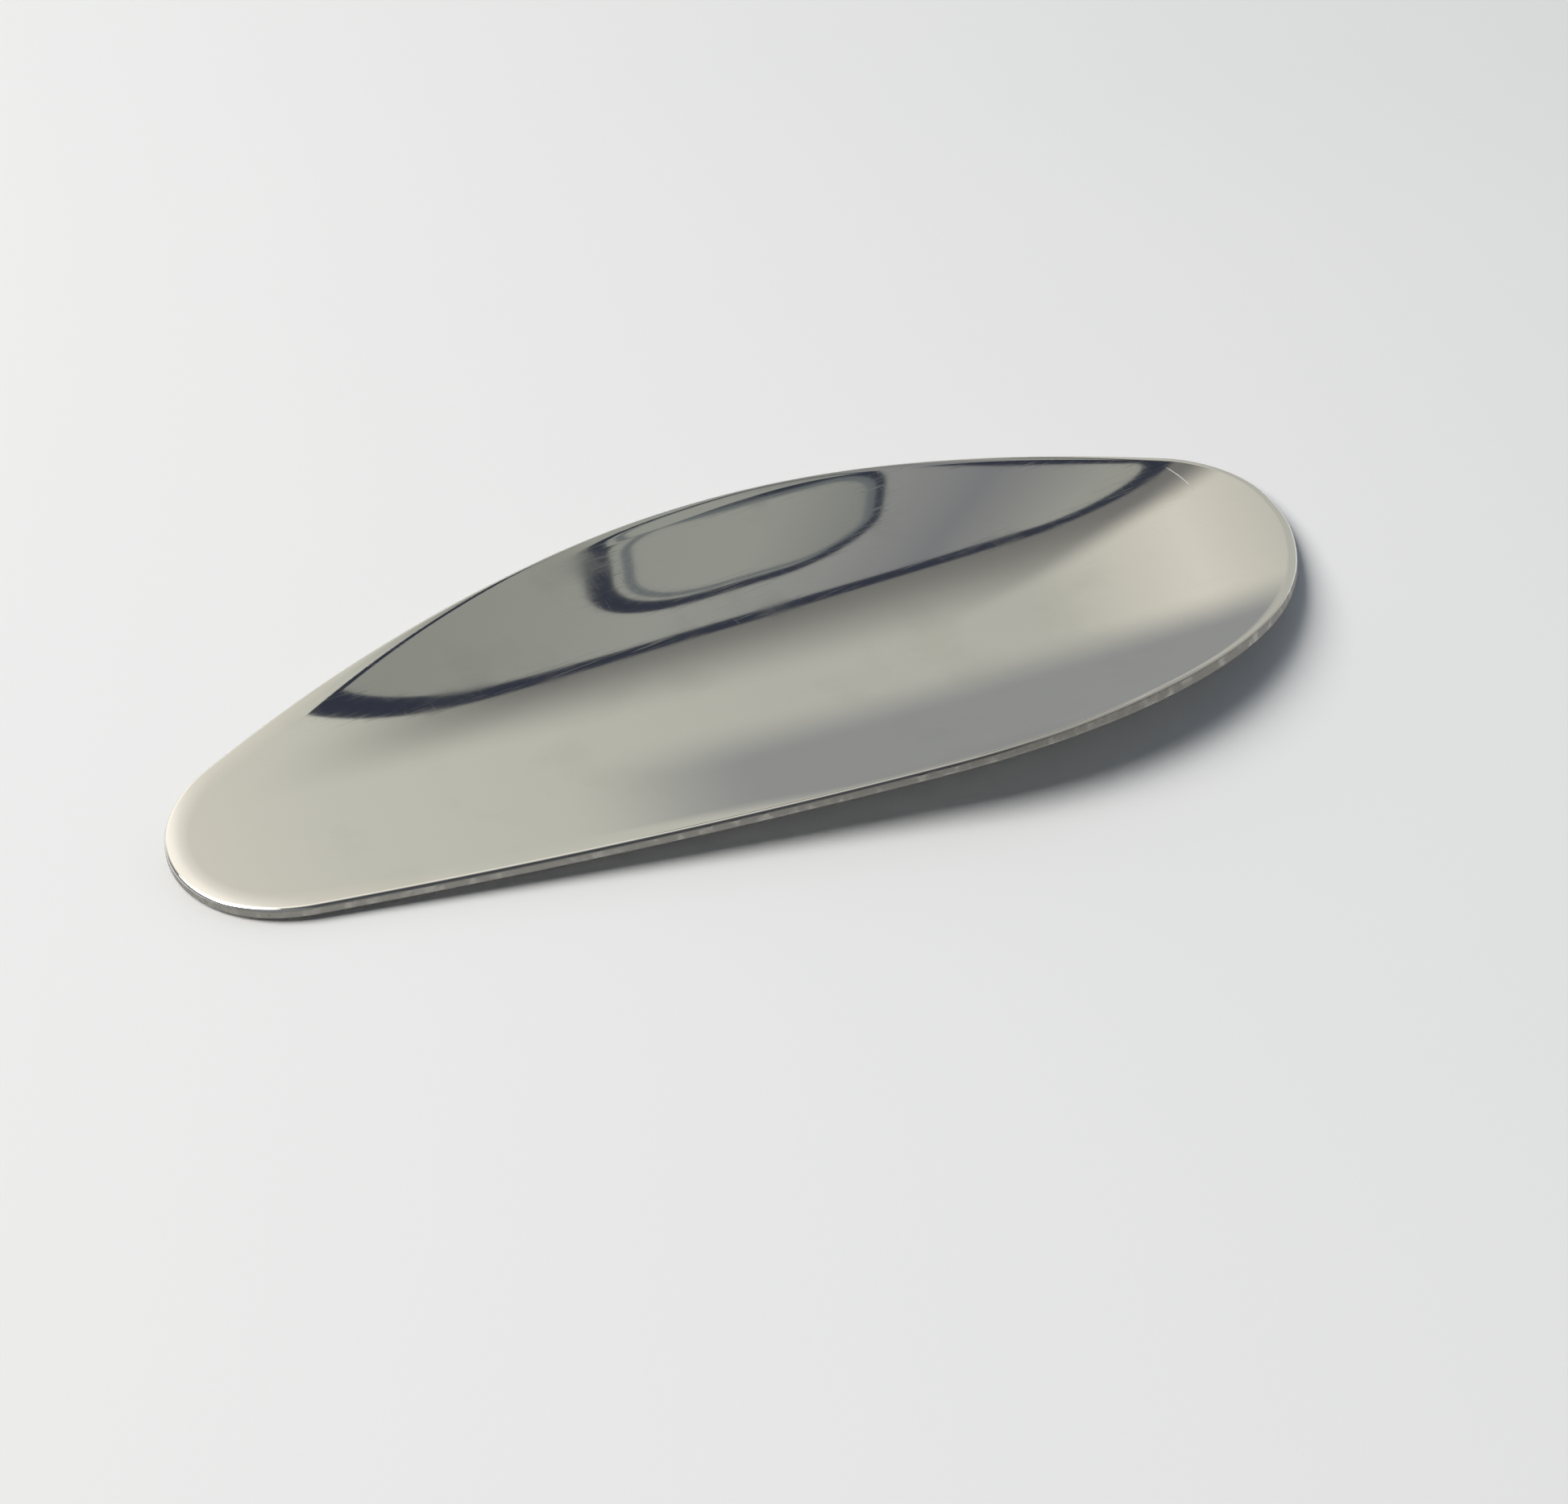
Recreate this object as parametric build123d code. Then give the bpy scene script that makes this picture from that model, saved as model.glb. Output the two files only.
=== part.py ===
from build123d import *

import os
from math import atan2, cos, radians, sin, tan

# Gua sha scraper: one piece of polished stainless sheet, cut to a lopsided teardrop and bent to a
# shallow trough. All sizes are in millimetres and all angles in degrees.
#
# Frame: X runs along the trough, from the narrow tail at -X to the broad nose at +X. Y runs across
# it and Z is up. The plate lies on its convex belly, hollow side up. The origin is at the middle of
# the plate's bounding box, on the surface that it rests on.

# The sheet
THICKNESS = 1.2            # sheet thickness
TROUGH_RADIUS = 78.0       # bend radius of the hollow face
FACE_EDGE_RADIUS = 0.35    # rounding between the hollow face and the rim
BELLY_EDGE_RADIUS = 0.25   # rounding between the belly and the rim

# The flat blank's outline: a closed chain of tangent arcs and one straight, taken anticlockwise.
# Each arc has a radius and the angle that the outline turns through along it.
NOSE_HEADING = 53.5        # direction of the outline where the nose arc starts
NOSE_RADIUS = 24.0         # end of the broad nose
NOSE_TURN = 21.0
SHOULDER_RADIUS = 9.5      # tight shoulder beside the nose, on the +Y side
SHOULDER_TURN = 71.5
BACK_RADIUS = 91.0         # long bowed edge on the +Y side, nose half
BACK_TURN = 40.0
BACK_TAIL_TURN = 17.5      # tail half of the bowed edge: its radius closes the outline
TAIL_RADIUS = 11.0         # round end of the narrow tail
TAIL_TURN = 136.0
CHEEK_RADIUS = 44.0        # broad curve on the -Y side of the nose, after the straight edge
CHEEK_TURN = 360.0 - NOSE_TURN - SHOULDER_TURN - BACK_TURN - BACK_TAIL_TURN - TAIL_TURN

# How finely the blank's outline is carried onto the bent sheet
POINT_SPACING = 2.0


def direction(heading):
    """Unit vector of the outline where it runs at this heading."""
    return Vector(cos(radians(heading)), sin(radians(heading)))


def chord(heading, turn):
    """Vector from the start to the end of an arc of radius 1."""
    across_start = direction(heading - 90.0)
    across_end = direction(heading + turn - 90.0)
    return across_end - across_start


def cross(a, b):
    """Z component of the cross product of two plane vectors."""
    return a.X * b.Y - a.Y * b.X


def outline_segments():
    """List of (radius, turn) along the outline, and (length, 0) for the straight edge.

    The straight's length and the radius of the bowed edge's tail half are what closes the chain.
    """
    arcs = [
        (NOSE_RADIUS, NOSE_TURN),
        (SHOULDER_RADIUS, SHOULDER_TURN),
        (BACK_RADIUS, BACK_TURN),
        (None, BACK_TAIL_TURN),
        (TAIL_RADIUS, TAIL_TURN),
        (CHEEK_RADIUS, CHEEK_TURN),
    ]
    gap = Vector(0, 0)
    heading = NOSE_HEADING
    open_chord = straight = None
    for radius, turn in arcs:
        if radius is None:
            open_chord = chord(heading, turn)
        else:
            gap -= chord(heading, turn) * radius
        heading += turn
        if radius == TAIL_RADIUS:
            straight = direction(heading)
    determinant = cross(open_chord, straight)
    back_tail_radius = cross(gap, straight) / determinant
    straight_length = cross(open_chord, gap) / determinant
    segments = [(back_tail_radius if radius is None else radius, turn) for radius, turn in arcs]
    segments.insert(5, (straight_length, 0.0))
    return segments


def blank_outline():
    """Flat blank's outline as a closed wire of tangent arcs and one straight edge."""
    edges = []
    start = Vector(0, 0)
    heading = NOSE_HEADING
    for size, turn in outline_segments():
        if turn:
            edge = JernArc(start=start, tangent=direction(heading), radius=size, arc_size=turn)
        else:
            edge = Line(start, start + direction(heading) * size)
        edges.append(edge)
        start = edge @ 1
        heading += turn
    return edges


def outline_points(edges):
    """Points along the closed outline, about POINT_SPACING apart."""
    points = []
    for edge in edges:
        count = round(edge.length / POINT_SPACING)
        points += [edge @ (index / count) for index in range(count)]
    return points


def balanced(edges):
    """The outline's edges, moved so that the plate, once it is bent about y = 0, has its centre of
    mass right over that line. The two sums are the moments about the bend axis, across and down."""
    points = outline_points(edges)
    across = down = 0.0
    for start, end in zip(points, points[1:] + points[:1]):
        bend = (start.Y + end.Y) / 2 / TROUGH_RADIUS
        across += cos(bend) * (end.X - start.X)
        down -= sin(bend) * (end.X - start.X)
    lean = TROUGH_RADIUS * atan2(across, down)
    return [edge.moved(Location((0, -lean, 0))) for edge in edges]


def wedge_section(edges, depth):
    """Closed curve where the plate's rim walls meet the level plane at this depth below the bend
    axis. The walls stand square to the sheet, so each lies on a line through the axis."""
    points = []
    for on_blank in outline_points(edges):
        bend = on_blank.Y / TROUGH_RADIUS
        points.append(Vector(on_blank.X, depth * tan(bend), TROUGH_RADIUS - depth))
    return Wire([Spline(*points, periodic=True)])


def bent_plate():
    """The plate: a cylindrical shell, trimmed by walls that stand square to it."""
    edges = balanced(blank_outline())
    length = sum(edge.length for edge in edges)
    shell_plane = Plane.YZ.offset(-length / 2)
    bend_axis = (0, TROUGH_RADIUS)
    rings = Circle(TROUGH_RADIUS + THICKNESS) - Circle(TROUGH_RADIUS)
    shell = extrude(shell_plane * Pos(*bend_axis) * rings, length)
    above = wedge_section(edges, TROUGH_RADIUS * 0.9)
    below = wedge_section(edges, TROUGH_RADIUS * 1.05)
    walls = Solid.make_loft([above, below], ruled=True)
    return (shell & walls).solid()


def rounded(plate):
    """The plate with both rims rounded, the hollow side's more than the belly's."""
    hollow, belly = plate.faces().filter_by(GeomType.CYLINDER).sort_by(SortBy.AREA)
    plate = fillet(hollow.edges(), FACE_EDGE_RADIUS)
    belly = plate.faces().filter_by(GeomType.CYLINDER).sort_by(SortBy.AREA)[-1]
    return fillet(belly.edges(), BELLY_EDGE_RADIUS).solid()


def placed(plate):
    """The plate, moved to the frame's origin: middle of the bounding box, on the rest surface."""
    box = plate.bounding_box(optimal=True)
    middle = box.center()
    return plate.moved(Location((-middle.X, -middle.Y, -box.min.Z)))


def main():
    plate = placed(rounded(bent_plate()))
    plate.label = "scraper_plate"
    os.makedirs("parts", exist_ok=True)
    export_step(plate, "parts/scraper_plate.step")


if __name__ == "__main__":
    main()
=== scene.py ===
"""Gua sha scraper: a lopsided teardrop plate of polished stainless sheet, bent to a shallow trough.

One piece, the polished plate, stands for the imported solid. Its faces are polished to a mirror and
roll off softly before the rim, and its rim is tumbled to a satin band. Everything is in metres, in
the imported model's frame: X runs along the trough from the narrow tail to the broad nose, Y runs
across it and Z is up.
"""

import logging
import math
from collections.abc import Iterable, Sequence
from dataclasses import dataclass, field
from enum import Enum

import bpy
from mathutils import Matrix, Vector


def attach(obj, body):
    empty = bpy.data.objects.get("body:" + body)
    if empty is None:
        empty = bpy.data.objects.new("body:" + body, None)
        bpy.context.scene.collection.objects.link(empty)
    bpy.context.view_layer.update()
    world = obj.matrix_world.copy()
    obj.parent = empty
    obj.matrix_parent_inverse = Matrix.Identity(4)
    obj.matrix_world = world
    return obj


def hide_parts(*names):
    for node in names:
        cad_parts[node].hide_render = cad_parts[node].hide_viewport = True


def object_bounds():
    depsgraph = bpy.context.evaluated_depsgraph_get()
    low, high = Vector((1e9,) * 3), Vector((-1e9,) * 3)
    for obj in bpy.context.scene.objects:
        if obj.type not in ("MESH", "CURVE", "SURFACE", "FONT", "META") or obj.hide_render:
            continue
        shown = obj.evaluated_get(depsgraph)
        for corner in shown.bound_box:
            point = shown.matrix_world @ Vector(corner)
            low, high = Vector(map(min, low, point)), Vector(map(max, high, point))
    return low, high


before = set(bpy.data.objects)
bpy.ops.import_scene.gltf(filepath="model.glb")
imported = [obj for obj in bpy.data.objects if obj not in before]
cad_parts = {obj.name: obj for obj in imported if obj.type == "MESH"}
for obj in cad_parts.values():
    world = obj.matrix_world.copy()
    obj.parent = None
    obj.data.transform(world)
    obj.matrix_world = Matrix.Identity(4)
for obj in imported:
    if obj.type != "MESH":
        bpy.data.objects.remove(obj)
CAD_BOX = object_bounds()

LOG = logging.getLogger("gua_sha_scraper")
MM = 0.001
Colour = tuple[float, float, float]
BACKDROP: Colour = (0.78, 0.78, 0.77)


# ---------------------------------------------------------------------------------------------
# Shader sheets
# ---------------------------------------------------------------------------------------------


class Socket:
    """An output socket that can be used in arithmetic; each operation adds a Math node."""

    def __init__(self, sheet: "ShaderSheet", link: bpy.types.NodeSocket) -> None:
        """Wrap an output socket of a sheet.

        Args:
            sheet: The sheet that the socket's node is in.
            link: The output socket.
        """
        self.sheet = sheet
        self.link = link

    def math(self, operation: str, *others: "Socket | float", clamp: bool = False) -> "Socket":
        """Add a Math node that starts with this socket.

        Args:
            operation: The Math node's operation.
            others: Its further inputs.
            clamp: Whether the result is kept between 0 and 1.

        Returns:
            The node's result.
        """
        settings = {"operation": operation, "use_clamp": clamp}
        return self.sheet.node("ShaderNodeMath", settings, {0: self, **dict(enumerate(others, 1))})

    def __add__(self, other: "Socket | float") -> "Socket":
        """Sum."""
        return self.math("ADD", other)

    def __mul__(self, other: "Socket | float") -> "Socket":
        """Product."""
        return self.math("MULTIPLY", other)

    def __sub__(self, other: "Socket | float") -> "Socket":
        """Difference."""
        return self.math("SUBTRACT", other)

    def __truediv__(self, other: "Socket | float") -> "Socket":
        """Quotient."""
        return self.math("DIVIDE", other)

    def __rsub__(self, other: float) -> "Socket":
        """Difference, from a number."""
        return self.math("MULTIPLY", -1.0) + other

    __radd__ = __add__
    __rmul__ = __mul__

    def ramp(self, low: float, high: float) -> "Socket":
        """Rise smoothly from 0 at low to 1 at high; low may be the larger."""
        settings = {"interpolation_type": "SMOOTHSTEP"}
        inputs = {"Value": self, "From Min": low, "From Max": high}
        return self.sheet.node("ShaderNodeMapRange", settings, inputs)

    def between(self, low: float, high: float) -> "Socket":
        """Spread a 0 to 1 value over low to high."""
        return self * (high - low) + low


class ShaderSheet:
    """The node tree of one material or of the world."""

    def __init__(self, tree: bpy.types.NodeTree) -> None:
        """Empty a node tree, ready for nodes.

        Args:
            tree: The node tree.
        """
        self.tree = tree
        tree.nodes.clear()

    def node(
        self,
        kind: str,
        settings: dict[str, object] | None = None,
        inputs: dict[int | str, object] | None = None,
        output: int | str = 0,
    ) -> Socket:
        """Add a node.

        Args:
            kind: The node's type.
            settings: Its settings, which are set first. A ramp's "stops" are (place, colour) pairs.
            inputs: Values or links of its sockets, by name or number.
            output: The output that is wanted.

        Returns:
            The wanted output.
        """
        made = self.tree.nodes.new(kind)
        for name, value in (settings or {}).items():
            if name == "stops":
                self._set_stops(made.color_ramp, value)
            else:
                setattr(made, name, value)
        for key, value in (inputs or {}).items():
            if isinstance(value, Socket):
                self.tree.links.new(value.link, made.inputs[key])
            else:
                made.inputs[key].default_value = value
        return Socket(self, made.outputs[output] if made.outputs else None)

    @staticmethod
    def _set_stops(ramp: bpy.types.ColorRamp, stops: Sequence[tuple[float, Colour]]) -> None:
        """Give a colour ramp its stops.

        Args:
            ramp: The ramp, with the two stops that it comes with.
            stops: (place, colour) pairs in order, two or more.
        """
        while len(ramp.elements) < len(stops):
            ramp.elements.new(0.5)
        for element, (place, colour) in zip(ramp.elements, stops):
            element.position = place
            element.color = (*colour, 1.0)

    def blend(self, factor: Socket | float, first: object, second: object) -> Socket:
        """Mix two colours.

        Args:
            factor: 0 for the first colour, 1 for the second.
            first: A colour or a link.
            second: A colour or a link.

        Returns:
            The mixed colour.
        """
        inputs = {0: factor, 6: self._full(first), 7: self._full(second)}
        return self.node("ShaderNodeMix", {"data_type": "RGBA"}, inputs, output=2)

    @staticmethod
    def _full(colour: object) -> object:
        """The colour with an alpha of 1, or the link as it is."""
        return colour if isinstance(colour, Socket) else (*colour, 1.0)

    def place_mm(self, stretch: Colour = (1.0, 1.0, 1.0), turn: float = 0.0) -> Socket:
        """Position on the object in millimetres, for textures.

        Args:
            stretch: Factor along each axis; a small one draws the texture out along that axis.
            turn: Angle in degrees that the texture is turned about Z.

        Returns:
            The position vector.
        """
        where = self.node("ShaderNodeTexCoord", output="Object")
        inputs = {
            "Vector": where,
            "Rotation": (0.0, 0.0, math.radians(turn)),
            "Scale": tuple(factor / MM for factor in stretch),
        }
        return self.node("ShaderNodeMapping", None, inputs)

    def noise(self, where: Socket, size: float, detail: float = 2.0) -> Socket:
        """Soft noise from 0 to 1.

        Args:
            where: Position in millimetres.
            size: Size of its blobs in millimetres.
            detail: Number of finer layers.

        Returns:
            The noise value.
        """
        inputs = {"Vector": where, "Scale": 1.0 / size, "Detail": detail}
        return self.node("ShaderNodeTexNoise", None, inputs)

    def specks(self, where: Socket, spacing: float, size: float) -> Socket:
        """Sparse round specks.

        Args:
            where: Position in millimetres.
            spacing: About how far apart they are, in millimetres.
            size: Their radius in millimetres.

        Returns:
            1 on a speck, 0 beside it.
        """
        inputs = {"Vector": where, "Scale": 1.0 / spacing}
        distance = self.node("ShaderNodeTexVoronoi", None, inputs, output="Distance")
        return distance.ramp(size / spacing, 0.5 * size / spacing)

    def axes(self, vector: Socket, names: str) -> tuple[Socket, ...]:
        """Parts of a vector along the named axes."""
        split = "ShaderNodeSeparateXYZ"
        return tuple(self.node(split, None, {"Vector": vector}, output=axis) for axis in names)

    def bump(
        self, height: Socket, depth: float, strength: float = 1.0, under: Socket | None = None
    ) -> Socket:
        """Normal of a surface with this relief.

        Args:
            height: Height from 0 to 1.
            depth: Depth of the relief in metres.
            strength: Share of the relief that shows.
            under: Normal of a relief that this one lies on.

        Returns:
            The normal.
        """
        inputs = {"Height": height, "Distance": depth, "Strength": strength}
        if under is not None:
            inputs["Normal"] = under
        return self.node("ShaderNodeBump", None, inputs)

    def finish(self, shader: Socket, kind: str = "ShaderNodeOutputMaterial") -> None:
        """Lead a shader to the output node."""
        self.node(kind, None, {"Surface": shader})


def new_sheet(name: str) -> tuple[bpy.types.Material, ShaderSheet]:
    """Start a material.

    Args:
        name: The material's name.

    Returns:
        The material and its empty sheet.
    """
    material = bpy.data.materials.new(name)
    material.use_nodes = True
    return material, ShaderSheet(material.node_tree)


# ---------------------------------------------------------------------------------------------
# Finishes of the plate
# ---------------------------------------------------------------------------------------------


@dataclass(frozen=True)
class MirrorPolish:
    """Mirror-polished stainless steel, with faint waves, hairlines, a smudge and a little dust.

    The scratch lies across the nose and the smudge near the tail. Their places are on the face, in
    millimetres, as are the sizes. Each dust is (spacing, radius).
    """

    colour: Colour = (0.80, 0.79, 0.765)
    clouded: Colour = (0.74, 0.73, 0.70)
    dust_colour: Colour = (0.85, 0.84, 0.80)
    roughness: float = 0.035
    cloud_roughness: float = 0.075
    hairline_roughness: float = 0.05
    smudge_roughness: float = 0.10
    scratch_roughness: float = 0.35
    dust_roughness: float = 0.6
    cloud_size: float = 9.0
    wave_size: float = 17.0
    wave_depth: float = 2.0e-5
    hairline_size: float = 0.25
    hairline_depth: float = 1.2e-7
    coarse_dust: tuple[float, float] = (17.0, 0.13)
    fine_dust: tuple[float, float] = (7.1, 0.055)
    scratch_ends: tuple[tuple[float, float], ...] = ((49.75, 8.3), (49.25, 3.9))
    scratch_width: float = 0.10
    scratch_bow: float = 0.9
    smudge_middle: tuple[float, float] = (-42.6, 13.2)
    smudge_reach: float = 5.0
    smudge_squash: float = 1.8

    def material(self) -> bpy.types.Material:
        """Make the material.

        Returns:
            The material.
        """
        material, sheet = new_sheet("mirror_polished_steel")
        plain = sheet.place_mm()
        waves = sheet.noise(sheet.place_mm((0.7, 1.3, 1.0), 12.0), self.wave_size, 1.0)
        cloud = sheet.noise(plain, self.cloud_size, 4.0).ramp(0.52, 0.72)
        lengthwise = sheet.place_mm((0.05, 2.2, 1.0), 8.0)
        crosswise = sheet.place_mm((2.2, 0.06, 1.0), -22.0)
        along = sheet.noise(lengthwise, self.hairline_size, 3.0).ramp(0.58, 0.72)
        across = sheet.noise(crosswise, self.hairline_size, 3.0).ramp(0.62, 0.74)
        hairlines = (along + across * 0.6).math("MINIMUM", 1.0)
        level = sheet.place_mm((1.0, 1.0, 0.0))
        fine_dust = sheet.specks(level, *self.fine_dust)
        dust = sheet.specks(level, *self.coarse_dust).math("MAXIMUM", fine_dust)
        x, y = sheet.axes(level, "XY")
        scratch = self.scratch(x, y)
        ridges = sheet.noise(sheet.place_mm((1.0, 3.0, 1.0), 30.0), 1.6, 4.0).ramp(0.4, 0.7)
        smudge = self.smudge(x, y) * ridges
        roughness = (
            cloud.between(self.roughness, self.cloud_roughness)
            + hairlines * self.hairline_roughness
            + dust * self.dust_roughness
            + smudge * self.smudge_roughness
            + scratch * self.scratch_roughness
        )
        steel = sheet.blend(cloud * 0.6 + hairlines * 0.2, self.colour, self.clouded)
        rolling = sheet.bump(waves, self.wave_depth)
        relief = sheet.bump(hairlines, self.hairline_depth, 1.0, rolling)
        inputs = {
            "Base Color": sheet.blend(dust, steel, self.dust_colour),
            "Metallic": 1.0 - dust - scratch * 0.5,
            "Roughness": roughness,
            "Normal": relief,
        }
        sheet.finish(sheet.node("ShaderNodeBsdfPrincipled", None, inputs))
        return material

    def scratch(self, x: Socket, y: Socket) -> Socket:
        """One short bowed scratch.

        Args:
            x: Place along the plate in millimetres.
            y: Place across it.

        Returns:
            1 on the scratch, 0 beside it.
        """
        (start_x, start_y), (end_x, end_y) = self.scratch_ends
        share = (y - start_y) / (end_y - start_y)
        line = share.between(start_x, end_x) + share * (1.0 - share) * self.scratch_bow
        beside = (x - line).math("ABSOLUTE").ramp(self.scratch_width, 0.3 * self.scratch_width)
        return beside * share.ramp(-0.1, 0.1) * share.ramp(1.1, 0.7)

    def smudge(self, x: Socket, y: Socket) -> Socket:
        """A soft round area that a fingertip has dulled.

        Args:
            x: Place along the plate in millimetres.
            y: Place across it.

        Returns:
            1 in its middle, 0 beyond its reach.
        """
        along = x - self.smudge_middle[0]
        across = (y - self.smudge_middle[1]) * self.smudge_squash
        return (along * along + across * across).math("SQRT").ramp(self.smudge_reach, 0.0)


@dataclass(frozen=True)
class TumbledSatin:
    """Tumbled stainless steel of the rim: warm grey, with a fine grain, pits and rubbed spots. Sizes
    are in millimetres, and the pits are (spacing, radius)."""

    colour: Colour = (0.290, 0.280, 0.258)
    rubbed: Colour = (0.38, 0.365, 0.335)
    pitted: Colour = (0.205, 0.195, 0.18)
    roughness: float = 0.40
    rubbed_roughness: float = 0.20
    grain_size: float = 0.09
    grain_depth: float = 4.0e-6
    rubbed_size: float = 1.1
    pits: tuple[float, float] = (0.9, 0.10)
    pit_depth: float = 1.5e-5

    def material(self) -> bpy.types.Material:
        """Make the material.

        Returns:
            The material.
        """
        material, sheet = new_sheet("tumbled_satin_steel")
        plain = sheet.place_mm()
        grain = sheet.noise(plain, self.grain_size, 4.0)
        rubbed = sheet.noise(plain, self.rubbed_size, 5.0).ramp(0.46, 0.66)
        pits = sheet.specks(plain, *self.pits) * sheet.noise(plain, 4.0, 2.0).ramp(0.45, 0.62)
        steel = sheet.blend(rubbed * 0.75 + grain.ramp(0.4, 0.6) * 0.25, self.colour, self.rubbed)
        relief = sheet.bump(pits, -self.pit_depth, 0.8, sheet.bump(grain, self.grain_depth))
        inputs = {
            "Base Color": sheet.blend(pits, steel, self.pitted),
            "Metallic": 1.0,
            "Roughness": rubbed.between(self.roughness, self.rubbed_roughness) + grain * 0.08,
            "Normal": relief,
        }
        sheet.finish(sheet.node("ShaderNodeBsdfPrincipled", None, inputs))
        return material


# ---------------------------------------------------------------------------------------------
# The plate
# ---------------------------------------------------------------------------------------------


class Skin(Enum):
    """Finish of a part of the plate's surface, as its material slot number."""

    POLISHED = 0
    SATIN = 1


@dataclass(frozen=True)
class BlankPoint:
    """A point on the flat blank's outline and the outline's outward normal there, in metres."""

    place: Vector
    outward: Vector


@dataclass(frozen=True)
class Arc:
    """An arc of the blank's outline. A radius of None is worked out so that the outline closes."""

    radius: float | None
    turn: float


@dataclass
class TeardropBlank:
    """The flat blank: a closed chain of tangent arcs and one straight, taken anticlockwise."""

    heading: float = 53.5
    nose: Arc = Arc(24.0 * MM, 21.0)
    shoulder: Arc = Arc(9.5 * MM, 71.5)
    bowed_edge: Arc = Arc(91.0 * MM, 40.0)
    bowed_tail: Arc = Arc(None, 17.5)
    tail: Arc = Arc(11.0 * MM, 136.0)
    cheek: Arc = Arc(44.0 * MM, 74.0)
    spacing: float = 0.5 * MM

    @staticmethod
    def direction(heading: float) -> Vector:
        """Unit vector at a heading in degrees."""
        return Vector((math.cos(math.radians(heading)), math.sin(math.radians(heading))))

    def chord(self, heading: float, turn: float) -> Vector:
        """Vector from the start to the end of an arc of radius 1."""
        return self.direction(heading + turn - 90.0) - self.direction(heading - 90.0)

    def chain(self) -> list[tuple[float, float]]:
        """Work out the open radius and the straight's length.

        Returns:
            (radius, turn) of each arc in order, with (length, 0) for the straight edge.
        """
        arcs = [self.nose, self.shoulder, self.bowed_edge, self.bowed_tail, self.tail, self.cheek]
        gap = Vector((0.0, 0.0))
        heading = self.heading
        open_chord = straight = gap
        for arc in arcs:
            if arc.radius is None:
                open_chord = self.chord(heading, arc.turn)
            else:
                gap = gap - self.chord(heading, arc.turn) * arc.radius
            heading += arc.turn
            if arc is self.tail:
                straight = self.direction(heading)
        determinant = open_chord.cross(straight)
        open_radius = gap.cross(straight) / determinant
        length = open_chord.cross(gap) / determinant
        chain = [(arc.radius or open_radius, arc.turn) for arc in arcs]
        chain.insert(arcs.index(self.cheek), (length, 0.0))
        return chain

    def outline(self) -> list[BlankPoint]:
        """Walk round the outline.

        Returns:
            Points about one spacing apart, anticlockwise, with the nose arc's start first.
        """
        points = []
        start = Vector((0.0, 0.0))
        heading = self.heading
        for size, turn in self.chain():
            length = size * math.radians(turn) if turn else size
            count = max(2, round(length / self.spacing))
            for index in range(count):
                share = index / count
                if turn:
                    place = start + self.chord(heading, turn * share) * size
                else:
                    place = start + self.direction(heading) * (size * share)
                points.append(BlankPoint(place, self.direction(heading + turn * share - 90.0)))
            step = self.chord(heading, turn) if turn else self.direction(heading)
            start = start + step * size
            heading += turn
        return points


@dataclass(frozen=True)
class RimStep:
    """A ring of the rim's cross-section: how far in from the wall it lies, how deep below the
    hollow face, and the tilt of its normal in degrees, 0 for up, 90 for outward, 180 for down."""

    inset: float
    depth: float
    tilt: float
    skin: Skin


@dataclass
class RimSection:
    """Cross-section of the rim, from the hollow face round to the belly."""

    thickness: float = 1.2 * MM
    face_corner: float = 0.35 * MM
    belly_corner: float = 0.25 * MM
    roll_width: float = 0.9 * MM
    roll_drop: float = 0.028 * MM
    roll_steps: int = 12
    corner_steps: int = 8
    polished_steps: int = 5
    wall_steps: int = 3

    def roll_off(self, corner: float) -> list[tuple[float, float, float]]:
        """The soft roll-off that polishing leaves between a face and its corner.

        Args:
            corner: Radius of the corner that it runs into.

        Returns:
            (inset, drop, tilt) of each ring, from the flat of the face outwards.
        """
        reach = self.roll_width - corner
        rings = []
        for step in range(self.roll_steps + 1):
            share = step / self.roll_steps
            tilt = math.degrees(math.atan(2.0 * self.roll_drop * share / reach))
            rings.append((self.roll_width - reach * share, self.roll_drop * share ** 2, tilt))
        return rings

    def corner(self, radius: float) -> list[tuple[float, float, float]]:
        """The rounded corner between a face's roll-off and the wall.

        Args:
            radius: Radius of the corner.

        Returns:
            (inset, drop, tilt) of each ring after the roll-off's last, down to the wall.
        """
        inset, drop, tilt = self.roll_off(radius)[-1]
        start = math.radians(tilt)
        across = inset / (1.0 - math.sin(start))
        down = radius
        rings = []
        for step in range(1, self.corner_steps + 1):
            angle = start + (math.pi / 2.0 - start) * step / self.corner_steps
            ring_inset = across * (1.0 - math.sin(angle))
            ring_drop = drop + down * (math.cos(start) - math.cos(angle))
            rings.append((ring_inset, ring_drop, math.degrees(angle)))
        return rings

    def steps(self) -> list[RimStep]:
        """The whole section.

        Returns:
            Its rings, from the edge of the hollow face's flat to the edge of the belly's.
        """
        upper = self.roll_off(self.face_corner)
        lower = self.roll_off(self.belly_corner)
        polished = len(upper) + self.polished_steps
        upper += self.corner(self.face_corner)
        lower_polished = len(lower)
        lower += self.corner(self.belly_corner)
        rings = []
        for index, (inset, drop, tilt) in enumerate(upper):
            skin = Skin.POLISHED if index < polished else Skin.SATIN
            rings.append(RimStep(inset, drop, tilt, skin))
        top, bottom = upper[-1][1], self.thickness - lower[-1][1]
        for step in range(1, self.wall_steps):
            depth = top + (bottom - top) * step / self.wall_steps
            rings.append(RimStep(0.0, depth, 90.0, Skin.SATIN))
        for index, (inset, drop, tilt) in reversed(list(enumerate(lower))):
            skin = Skin.POLISHED if index < lower_polished else Skin.SATIN
            rings.append(RimStep(inset, self.thickness - drop, 180.0 - tilt, skin))
        return rings


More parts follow.
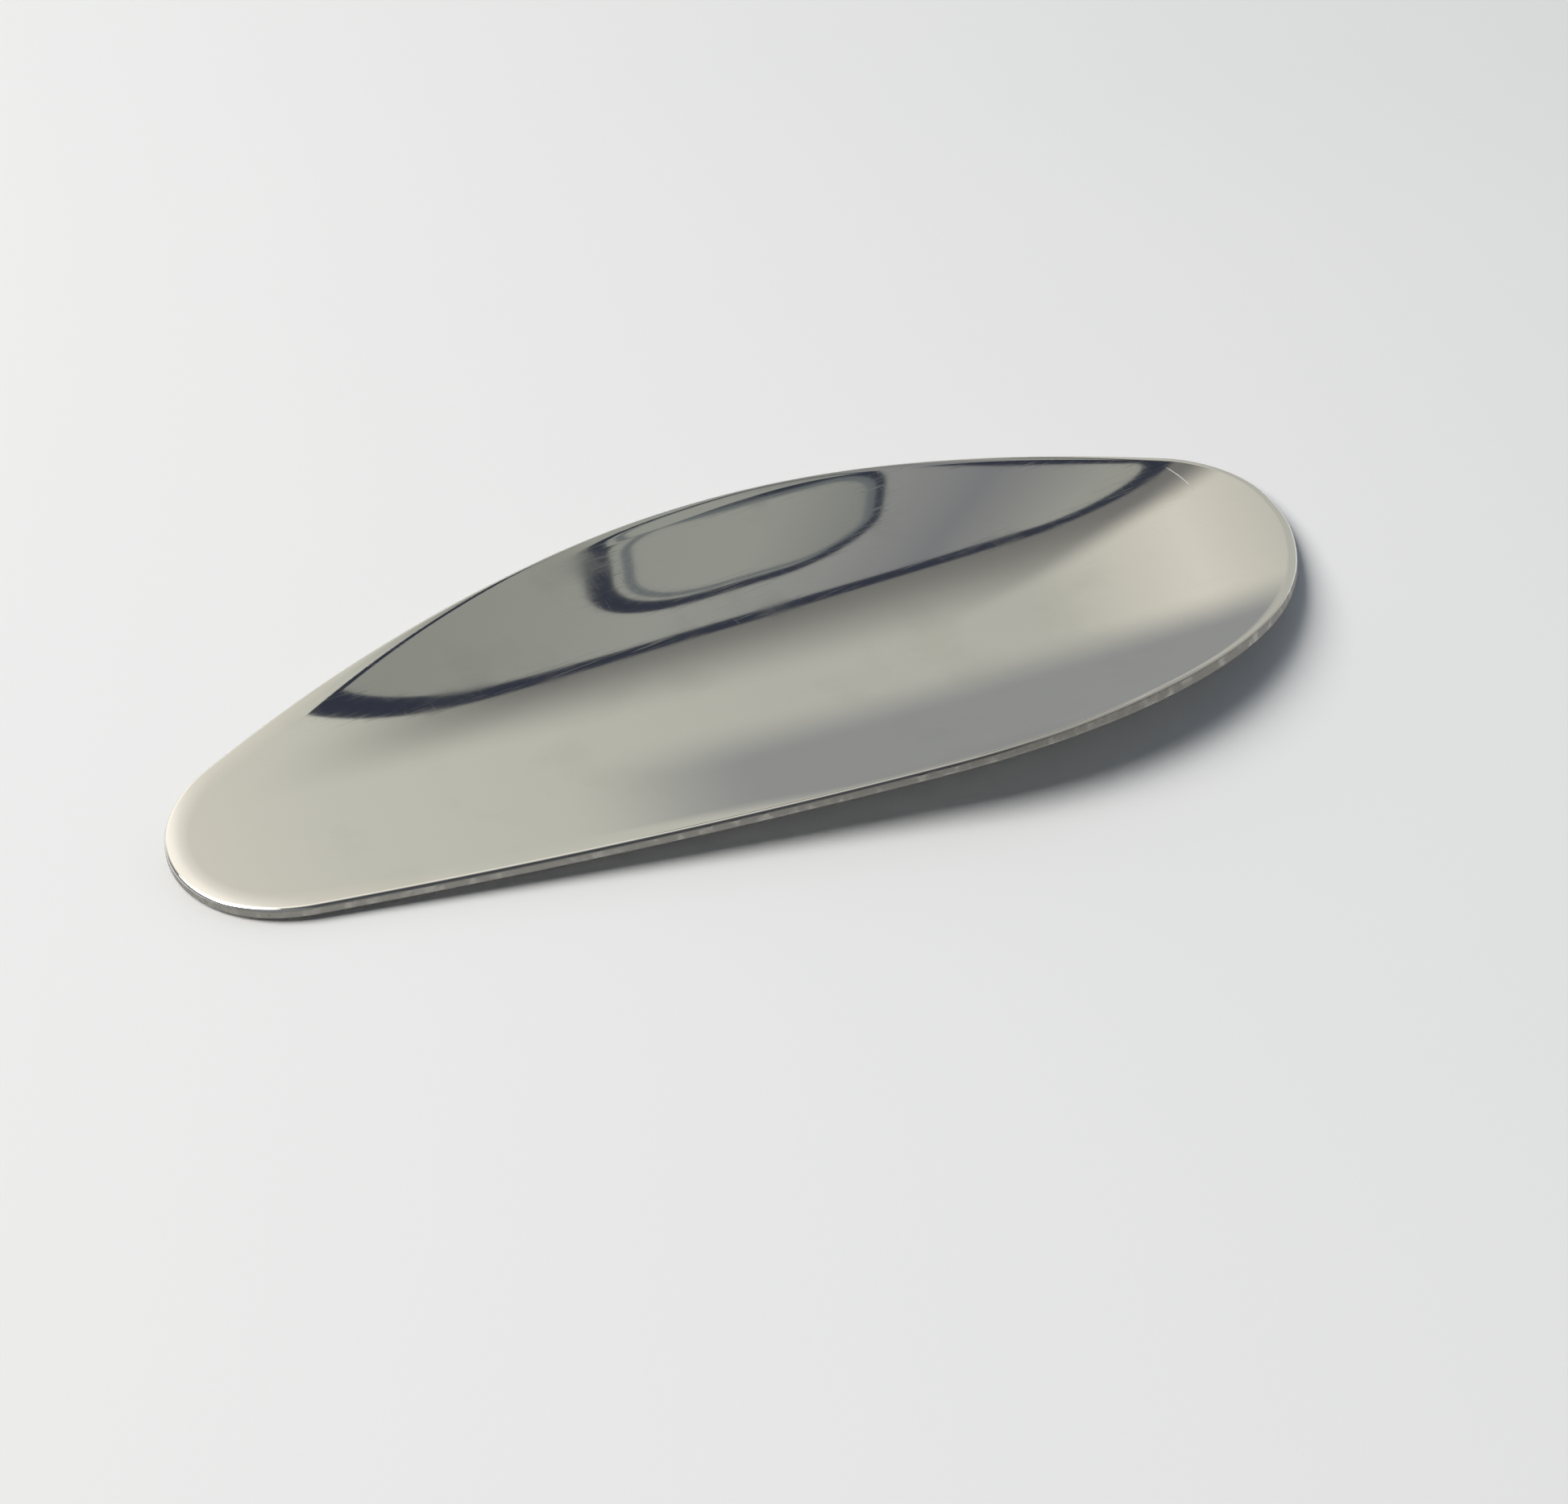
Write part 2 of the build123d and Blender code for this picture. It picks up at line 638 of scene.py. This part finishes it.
@dataclass
class ScraperPlate:
    """The plate: the blank with its rim section, bent about an axis above its balance line."""

    trough_radius: float = 78.0 * MM
    blank: TeardropBlank = field(default_factory=TeardropBlank)
    rim: RimSection = field(default_factory=RimSection)
    tail_rim: RimSection = field(
        default_factory=lambda: RimSection(roll_width=2.0 * MM, roll_drop=0.115 * MM)
    )
    tail_blend: tuple[float, float] = (-30.0 * MM, -50.0 * MM)
    face_rings: int = 44
    polish: MirrorPolish = MirrorPolish()
    satin: TumbledSatin = TumbledSatin()

    def lean(self, points: Sequence[BlankPoint]) -> float:
        """Find the blank line that the bent plate balances on.

        Args:
            points: The blank's outline.

        Returns:
            The line's Y on the blank.
        """
        across = down = 0.0
        for start, end in zip(points, [*points[1:], points[0]]):
            bend = (start.place.y + end.place.y) / 2.0 / self.trough_radius
            across += math.cos(bend) * (end.place.x - start.place.x)
            down -= math.sin(bend) * (end.place.x - start.place.x)
        return self.trough_radius * math.atan2(across, down)

    def bent(self, place: Vector, depth: float) -> Vector:
        """Carry a point of the flat blank onto the bent plate.

        Args:
            place: The point on the blank, with the bend line at y = 0.
            depth: How far below the hollow face it lies.

        Returns:
            The point, with the belly's lowest line at z = 0.
        """
        bend = place.y / self.trough_radius
        radius = self.trough_radius + depth
        height = self.trough_radius + self.rim.thickness - radius * math.cos(bend)
        return Vector((place.x, radius * math.sin(bend), height))

    def bent_normal(self, place: Vector, depth: float, outward: Vector, tilt: float) -> Vector:
        """Carry a surface normal of the flat blank onto the bent plate.

        Args:
            place: The point on the blank, with the bend line at y = 0.
            depth: How far below the hollow face it lies.
            outward: The outline's outward normal on the blank.
            tilt: The normal's tilt in degrees from straight up, towards outward.

        Returns:
            The unit normal.
        """
        bend = place.y / self.trough_radius
        out, up = math.sin(math.radians(tilt)), math.cos(math.radians(tilt))
        across = out * outward.y * self.trough_radius / (self.trough_radius + depth)
        side = across * math.cos(bend) - up * math.sin(bend)
        rise = across * math.sin(bend) + up * math.cos(bend)
        return Vector((out * outward.x, side, rise)).normalized()

    def blended(self, plain: RimStep, tail: RimStep, x: float) -> RimStep:
        """Blend a ring of the plain rim into the tail's softer one.

        Args:
            plain: The ring on the plain rim.
            tail: The same ring on the tail's rim.
            x: Place along the blank.

        Returns:
            The ring there.
        """
        start, end = self.tail_blend
        share = min(max((x - start) / (end - start), 0.0), 1.0)
        share = share * share * (3.0 - 2.0 * share)
        mixed = (
            a + (b - a) * share
            for a, b in ((plain.inset, tail.inset), (plain.depth, tail.depth), (plain.tilt, tail.tilt))
        )
        return RimStep(*mixed, plain.skin)

    def rings(self) -> list[tuple[list[Vector], list[Vector], Skin]]:
        """Lay out the plate's surface as closed rings.

        Returns:
            Places, normals and skin of each ring, from the middle of the hollow face, over the rim,
            to the middle of the belly. The skin is that of the strip after the ring.
        """
        points = self.blank.outline()
        lean = Vector((0.0, self.lean(points)))
        points = [BlankPoint(point.place - lean, point.outward) for point in points]
        middle = sum((point.place for point in points), Vector((0.0, 0.0))) / len(points)
        sections = list(zip(self.rim.steps(), self.tail_rim.steps()))
        face_shares = [(index / self.face_rings) ** 0.8 for index in range(1, self.face_rings)]
        rings = []

        def lay(pair: tuple[RimStep, RimStep], share: float) -> None:
            """Lay one ring, at this share of the way from the middle to the section's ring."""
            places, normals = [], []
            for point in points:
                step = self.blended(*pair, point.place.x)
                flat = middle + (point.place - point.outward * step.inset - middle) * share
                places.append(self.bent(flat, step.depth))
                normals.append(self.bent_normal(flat, step.depth, point.outward, step.tilt))
            rings.append((places, normals, pair[0].skin))

        for share in face_shares:
            lay(sections[0], share)
        for pair in sections:
            lay(pair, 1.0)
        for share in reversed(face_shares):
            lay(sections[-1], share)
        return rings

    def build(self, box: tuple[Vector, Vector]) -> bpy.types.Object:
        """Build the plate's mesh and give it its finishes.

        Args:
            box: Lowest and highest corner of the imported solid, which the plate is centred in.

        Returns:
            The plate.
        """
        rings = self.rings()
        count = len(rings[0][0])
        places = [place for ring in rings for place in ring[0]]
        normals = [normal for ring in rings for normal in ring[1]]
        faces, skins = [], []
        for ring, (_, _, skin) in enumerate(rings[:-1]):
            for index in range(count):
                after = (index + 1) % count
                lower, upper = ring * count, (ring + 1) * count
                faces.append((lower + index, upper + index, upper + after, lower + after))
                skins.append(skin.value)
        for ring, tilt in ((0, 0.0), (len(rings) - 1, 180.0)):
            hub = self.hub(rings[ring][0], tilt)
            for index in range(count):
                pair = (ring * count + index, ring * count + (index + 1) % count)
                faces.append((len(places), *(pair if tilt == 0.0 else reversed(pair))))
                skins.append(Skin.POLISHED.value)
            places.append(hub[0])
            normals.append(hub[1])
        low, high = self.extent(places)
        middle = (box[0] + box[1]) / 2.0
        shift = Vector((middle.x - (low.x + high.x) / 2.0, middle.y - (low.y + high.y) / 2.0, box[0].z))
        mesh = bpy.data.meshes.new("polished_plate")
        mesh.from_pydata([place + shift for place in places], [], faces)
        mesh.polygons.foreach_set("use_smooth", [True] * len(faces))
        mesh.materials.append(self.polish.material())
        mesh.materials.append(self.satin.material())
        mesh.polygons.foreach_set("material_index", skins)
        mesh.update()
        mesh.normals_split_custom_set_from_vertices(normals)
        plate = bpy.data.objects.new("polished_plate", mesh)
        bpy.context.scene.collection.objects.link(plate)
        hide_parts("scraper_plate")
        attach(plate, "root")
        return plate

    def hub(self, ring: Sequence[Vector], tilt: float) -> tuple[Vector, Vector]:
        """Middle of a face.

        Args:
            ring: Places of the face's innermost ring.
            tilt: 0 for the hollow face, 180 for the belly.

        Returns:
            Its place on the bent face and its normal.
        """
        middle = sum(ring, Vector()) / len(ring)
        depth = 0.0 if tilt == 0.0 else self.rim.thickness
        flat_y = self.trough_radius * math.asin(middle.y / (self.trough_radius + depth))
        flat = Vector((middle.x, flat_y))
        return self.bent(flat, depth), self.bent_normal(flat, depth, Vector((0.0, 0.0)), tilt)

    @staticmethod
    def extent(places: Iterable[Vector]) -> tuple[Vector, Vector]:
        """Lowest and highest corner of some places."""
        columns = list(zip(*places))
        return Vector(map(min, columns)), Vector(map(max, columns))


# ---------------------------------------------------------------------------------------------
# The studio
# ---------------------------------------------------------------------------------------------


@dataclass
class PaperFloor:
    """A wide sheet of plain pale paper that the plate lies on. Far from the plate it fades into the
    backdrop, between the two distances of its fade."""

    half_width: float = 4.0
    colour: Colour = (0.80, 0.80, 0.79)
    shaded: Colour = (0.77, 0.775, 0.775)
    roughness: float = 0.75
    fibre_depth: float = 1.0e-5
    fade: tuple[float, float] = (0.32, 0.85)

    def build(self, height: float) -> bpy.types.Object:
        """Lay the paper.

        Args:
            height: Z of the surface that the plate lies on.

        Returns:
            The floor.
        """
        material, sheet = new_sheet("pale_paper")
        where = sheet.place_mm()
        cloud = sheet.noise(where, 120.0, 3.0)
        inputs = {
            "Base Color": sheet.blend(cloud, self.colour, self.shaded),
            "Roughness": cloud.between(self.roughness, self.roughness + 0.1),
            "Specular IOR Level": 0.2,
            "Normal": sheet.bump(sheet.noise(where, 0.8, 4.0), self.fibre_depth),
        }
        paper = sheet.node("ShaderNodeBsdfPrincipled", None, inputs)
        glow = sheet.node("ShaderNodeEmission", None, {"Color": (*BACKDROP, 1.0)})
        away = sheet.node("ShaderNodeTexCoord", output="Object")
        far = sheet.node("ShaderNodeVectorMath", {"operation": "LENGTH"}, {0: away}, output="Value")
        faded = far.ramp(*self.fade)
        sheet.finish(sheet.node("ShaderNodeMixShader", None, {0: faded, 1: paper, 2: glow}))
        reach = self.half_width
        signs = ((-1, -1), (1, -1), (1, 1), (-1, 1))
        corners = [(reach * across, reach * along, height) for across, along in signs]
        mesh = bpy.data.meshes.new("paper_floor")
        mesh.from_pydata(corners, [], [(0, 1, 2, 3)])
        mesh.materials.append(material)
        floor = bpy.data.objects.new("paper_floor", mesh)
        bpy.context.scene.collection.objects.link(floor)
        return floor


@dataclass
class StudioRoom:
    """The room round the table, as the world. The steel mirrors warm walls and a ceiling, a low cool
    wall at +X, a window, a dim wall at -X, the near side of the room and a dark onlooker in it. What
    lights the paper is dimmer, because the soft lamp does most of it. Each edge is a pair of parts
    of the direction, between which its area begins."""

    warm: tuple[tuple[float, Colour], ...] = (
        (0.08, (1.00, 0.97, 0.88)),
        (0.21, (0.74, 0.72, 0.64)),
        (0.28, (0.64, 0.64, 0.57)),
        (0.45, (0.54, 0.54, 0.49)),
        (0.55, (0.53, 0.53, 0.48)),
        (0.605, (0.77, 0.74, 0.655)),
        (0.65, (0.53, 0.53, 0.48)),
    )
    cool_wall: Colour = (0.325, 0.335, 0.335)
    fill_dim: Colour = (0.018, 0.026, 0.040)
    fill_bright: Colour = (0.62, 0.69, 0.78)
    fill_towards: tuple[float, float] = (0.85, 0.5)
    fill_edge: tuple[float, float] = (-0.1, 0.9)
    wall_start: tuple[float, float] = (0.36, 0.44)
    wall_side: tuple[float, float] = (0.1, 0.4)
    wall_top: tuple[float, float] = (0.47, 0.34)
    wall_top_middle: float = 0.45
    wall_top_slope: float = 1.2
    window: Colour = (1.22, 1.17, 1.05)
    window_edge: tuple[float, float] = (0.15, 0.02)
    window_side: tuple[float, float] = (0.15, 0.5)
    near_room: Colour = (0.36, 0.36, 0.34)
    near_edge: tuple[float, float] = (0.30, -0.10)
    side_wall: Colour = (0.23, 0.24, 0.245)
    side_edge: tuple[float, float] = (-0.25, -0.55)
    onlooker: Colour = (0.06, 0.065, 0.075)
    onlooker_towards: tuple[float, float, float] = (-0.45, -0.68, 0.58)
    onlooker_edge: tuple[float, float] = (0.70, 0.84)

    def build(self) -> None:
        """Dress the world."""
        world = bpy.data.worlds.new("studio_room")
        world.use_nodes = True
        sheet = ShaderSheet(world.node_tree)
        direction = sheet.node("ShaderNodeTexCoord", output="Generated")
        x, y, z = sheet.axes(direction, "XYZ")
        warm = sheet.node("ShaderNodeValToRGB", {"stops": self.warm}, {"Fac": x})
        top = z + (x - self.wall_top_middle) * self.wall_top_slope
        wall = x.ramp(*self.wall_start) * top.ramp(*self.wall_top) * y.ramp(*self.wall_side)
        room = sheet.blend(wall, warm, self.cool_wall)
        room = sheet.blend(y.ramp(*self.near_edge), room, self.near_room)
        aim = Vector(self.onlooker_towards).normalized()
        facing = x * aim.x + y * aim.y + z * aim.z
        room = sheet.blend(facing.ramp(*self.onlooker_edge), room, self.onlooker)
        window = x.ramp(*self.window_edge) * y.ramp(*self.window_side)
        room = sheet.blend(window, room, self.window)
        room = sheet.blend(x.ramp(*self.side_edge), room, self.side_wall)
        mirrored = sheet.node("ShaderNodeBackground", None, {"Color": room})
        bright = (x * self.fill_towards[0] + y * self.fill_towards[1]).ramp(*self.fill_edge)
        fill = sheet.blend(bright, self.fill_dim, self.fill_bright)
        filling = sheet.node("ShaderNodeBackground", None, {"Color": fill})
        backdrop = sheet.node("ShaderNodeBackground", None, {"Color": (*BACKDROP, 1.0)})
        for_paper = sheet.node("ShaderNodeLightPath", output="Diffuse Depth").math("MINIMUM", 1.0)
        for_camera = sheet.node("ShaderNodeLightPath", output="Is Camera Ray")
        lit = sheet.node("ShaderNodeMixShader", None, {0: for_paper, 1: mirrored, 2: filling})
        shown = sheet.node("ShaderNodeMixShader", None, {0: for_camera, 1: lit, 2: backdrop})
        sheet.finish(shown, "ShaderNodeOutputWorld")
        bpy.context.scene.world = world


@dataclass
class SoftLamp:
    """The large soft lamp that throws the plate's one shadow."""

    towards: tuple[float, float, float] = (-0.74, 0.43, 1.0)
    distance: float = 1.3
    side: float = 0.95
    power: float = 20.8
    colour: Colour = (1.0, 0.98, 0.945)

    def build(self) -> bpy.types.Object:
        """Hang the lamp, facing the plate.

        Returns:
            The lamp.
        """
        data = bpy.data.lights.new("soft_lamp", "AREA")
        data.shape = "SQUARE"
        data.size = self.side
        data.energy = self.power
        data.color = self.colour
        lamp = bpy.data.objects.new("soft_lamp", data)
        direction = Vector(self.towards).normalized()
        lamp.location = direction * self.distance
        lamp.rotation_euler = direction.to_track_quat("Z", "Y").to_euler()
        bpy.context.scene.collection.objects.link(lamp)
        return lamp


@dataclass
class MirroredPanel:
    """A flat panel held over the table that only shows in the steel: a rounded four-sided shape
    with a dark border. Its corners run anticlockwise from the far right one, as (x, y, cut), where
    the cut is how far from the corner its rounding starts. The cuts of the border's inner edge are
    inner_cut times as large. The face's stops are (share of the width, colour) pairs."""

    name: str
    corners: tuple[tuple[float, float, float], ...]
    border: float
    height: float
    face: tuple[tuple[float, Colour], ...]
    edge: Colour = (0.034, 0.040, 0.060)
    inner_cut: float = 1.0
    corner_steps: int = 16

    def corner(self, index: int) -> tuple[Vector, float]:
        """One corner's place on the panel's plane and its cut."""
        x, y, cut = self.corners[index % len(self.corners)]
        return Vector((x, y)), cut

    def rounded(self, grow: float, scale: float = 1.0) -> list[Vector]:
        """Outline of the panel.

        Args:
            grow: How far outside the panel's own edge the outline runs; negative for inside.
            scale: How many times larger the corners' cuts are.

        Returns:
            Its points, anticlockwise from the far right corner.
        """
        points = []
        for index in range(len(self.corners)):
            corner, cut = self.corner(index)
            cut *= scale
            before = (self.corner(index - 1)[0] - corner).normalized()
            after = (self.corner(index + 1)[0] - corner).normalized()
            half = before.angle(after) / 2.0
            centre = corner + (before + after).normalized() * cut / math.cos(half)
            start = Vector((-before.y, before.x))
            radius = cut * math.tan(half) + grow
            sweep = math.pi - 2.0 * half
            for step in range(self.corner_steps + 1):
                turn = sweep * step / self.corner_steps
                cosine, sine = math.cos(turn), math.sin(turn)
                spoke = Vector((start.x * cosine - start.y * sine, start.x * sine + start.y * cosine))
                place = centre + spoke * radius
                points.append(Vector((place.x, place.y, self.height)))
        return points

    def build(self) -> list[bpy.types.Object]:
        """Build the panel's face and border.

        Returns:
            The two pieces.
        """
        inner = self.rounded(-self.border / 2.0, self.inner_cut)
        outer = self.rounded(self.border / 2.0)
        count = len(inner)
        face = staged_mesh(f"{self.name}_face", inner, [tuple(range(count))], self._glow(self.face))
        strip = [(i, (i + 1) % count, count + (i + 1) % count, count + i) for i in range(count)]
        plain = ((0.0, self.edge), (1.0, self.edge))
        edge = staged_mesh(f"{self.name}_edge", [*inner, *outer], strip, self._glow(plain))
        return [face, edge]

    def _glow(self, stops: tuple[tuple[float, Colour], ...]) -> bpy.types.Material:
        """Light of the panel, which changes along its width."""
        material, sheet = new_sheet(f"{self.name}_glow")
        (across,) = sheet.axes(sheet.node("ShaderNodeTexCoord", output="Object"), "X")
        sides = [x for x, _, _ in self.corners]
        share = (across - min(sides)) / (max(sides) - min(sides))
        colour = sheet.node("ShaderNodeValToRGB", {"stops": stops}, {"Fac": share})
        sheet.finish(sheet.node("ShaderNodeEmission", None, {"Color": colour}))
        return material


@dataclass
class PanelShade:
    """The soft shade that a held panel throws on the room beyond its far side, seen only in the
    steel. It is widest at the right end of its span and stops there. The start and the stop are
    shares of the span."""

    panel: MirroredPanel
    colour: Colour = (0.20, 0.20, 0.19)
    reach: float = 0.26
    width_left: float = 0.040
    width_right: float = 0.140
    span: float = 0.322
    overrun: float = 0.1
    under: float = -0.12
    start: tuple[float, float] = (0.02, 0.30)
    stop: tuple[float, float] = (1.17, 1.02)
    gap: float = 0.002

    def build(self) -> bpy.types.Object:
        """Build the shade.

        Returns:
            Its one staged piece.
        """
        edge = self.panel.corner(1)[0]
        along = (self.panel.corner(0)[0] - edge).normalized()
        up = Vector((-along.y, along.x))
        end = self.span + self.overrun
        sides = ((0.0, self.under), (end, self.under), (end, self.reach), (0.0, self.reach))
        flat = [edge + along * x + up * y for x, y in sides]
        places = [Vector((place.x, place.y, self.panel.height + self.gap)) for place in flat]
        material, sheet = new_sheet("panel_shade")
        x, y = sheet.axes(sheet.node("ShaderNodeTexCoord", output="Object"), "XY")
        beside = (x - edge.x) * along.x + (y - edge.y) * along.y
        beyond = (x - edge.x) * up.x + (y - edge.y) * up.y
        share = (beside / self.span).math("MAXIMUM", 0.0)
        width = share.math("MINIMUM", 1.0).between(self.width_left, self.width_right)
        shade = (beyond / width).ramp(1.0, 0.0)
        ends = share.ramp(*self.start) * share.ramp(*self.stop)
        clear = sheet.node("ShaderNodeBsdfTransparent")
        glow = sheet.node("ShaderNodeEmission", None, {"Color": (*self.colour, 1.0)})
        sheet.finish(sheet.node("ShaderNodeMixShader", None, {0: shade * ends, 1: clear, 2: glow}))
        return staged_mesh("panel_shade", places, [(0, 1, 2, 3)], material)


def staged_mesh(
    name: str,
    places: Sequence[Vector],
    faces: Sequence[tuple[int, ...]],
    material: bpy.types.Material,
) -> bpy.types.Object:
    """Build a staged piece that only reflections show.

    Args:
        name: Its name.
        places: Its vertices.
        faces: Its faces.
        material: Its material.

    Returns:
        The piece.
    """
    mesh = bpy.data.meshes.new(name)
    mesh.from_pydata(places, [], faces)
    mesh.materials.append(material)
    piece = bpy.data.objects.new(name, mesh)
    bpy.context.scene.collection.objects.link(piece)
    piece.visible_camera = False
    piece.visible_diffuse = False
    piece.visible_shadow = False
    piece.visible_transmission = False
    return piece


@dataclass
class StudioCamera:
    """The camera, aimed down at the plate along its heading and pitch."""

    aim: tuple[float, float, float] = (-0.0065, -0.00775, 0.0)
    distance: float = 0.2012
    heading: float = 56.77
    pitch: float = 35.25
    roll: float = -1.49
    lens: float = 55.5
    sensor: float = 36.0
    clip_start: float = 0.01

    def build(self) -> bpy.types.Object:
        """Place the camera and make it the scene's.

        Returns:
            The camera.
        """
        heading, pitch, roll = (math.radians(a) for a in (self.heading, self.pitch, self.roll))
        forward = Vector((
            math.cos(heading) * math.cos(pitch),
            math.sin(heading) * math.cos(pitch),
            -math.sin(pitch),
        ))
        level = forward.cross(Vector((0.0, 0.0, 1.0))).normalized()
        upright = level.cross(forward)
        right = level * math.cos(roll) + upright * math.sin(roll)
        up = upright * math.cos(roll) - level * math.sin(roll)
        data = bpy.data.cameras.new("studio_camera")
        data.lens = self.lens
        data.sensor_width = self.sensor
        data.clip_start = self.clip_start
        camera = bpy.data.objects.new("studio_camera", data)
        turn = Matrix((right, up, -forward)).transposed().to_4x4()
        camera.matrix_world = Matrix.Translation(Vector(self.aim) - forward * self.distance) @ turn
        bpy.context.scene.collection.objects.link(camera)
        bpy.context.scene.camera = camera
        return camera


def mirrored_panels() -> list[MirroredPanel]:
    """The panels over the table.

    Returns:
        The held panel, the smaller one in it and the thin lip along that one's border.
    """
    held_face = (
        (0.10, (0.31, 0.32, 0.29)),
        (0.29, (0.36, 0.37, 0.34)),
        (0.44, (0.31, 0.32, 0.31)),
        (0.55, (0.23, 0.235, 0.25)),
        (0.69, (0.36, 0.37, 0.34)),
        (0.83, (0.38, 0.38, 0.34)),
    )
    inset_face = ((0.0, (0.34, 0.35, 0.32)), (0.5, (0.35, 0.36, 0.33)), (1.0, (0.24, 0.25, 0.24)))
    held_corners = (
        (0.446, 0.346, 0.130),
        (0.050, 0.231, 0.090),
        (0.066, 0.085, 0.020),
        (0.138, 0.087, 0.010),
    )
    inset_corners = (
        (0.2321, 0.2403, 0.030),
        (0.1474, 0.2207, 0.036),
        (0.1349, 0.1417, 0.018),
        (0.2196, 0.1613, 0.020),
    )
    lip_corners = (
        (0.2288, 0.2313, 0.026),
        (0.1537, 0.2139, 0.030),
        (0.1433, 0.1478, 0.014),
        (0.2183, 0.1651, 0.016),
    )
    return [
        MirroredPanel("held_panel", held_corners, 0.0105, 0.300, held_face, inner_cut=1.05),
        MirroredPanel("panel_inset", inset_corners, 0.0075, 0.298, inset_face),
        MirroredPanel("panel_lip", lip_corners, 0.003, 0.296, inset_face, edge=(0.15, 0.17, 0.18)),
    ]


def main() -> None:
    """Build the plate and the studio, and report each piece."""
    logging.basicConfig(level=logging.INFO, format="%(name)s: %(message)s")
    StudioCamera().build()
    plate = ScraperPlate().build(CAD_BOX)
    LOG.info("%s: %d faces", plate.name, len(plate.data.polygons))
    StudioRoom().build()
    SoftLamp().build()
    floor = PaperFloor().build(CAD_BOX[0].z)
    panels = mirrored_panels()
    pieces = [piece for panel in panels for piece in panel.build()]
    for piece in (floor, *pieces, PanelShade(panels[0]).build()):
        LOG.info("%s: staged", piece.name)
    bpy.context.scene.view_settings.view_transform = "Standard"


if __name__ == "__main__":
    main()
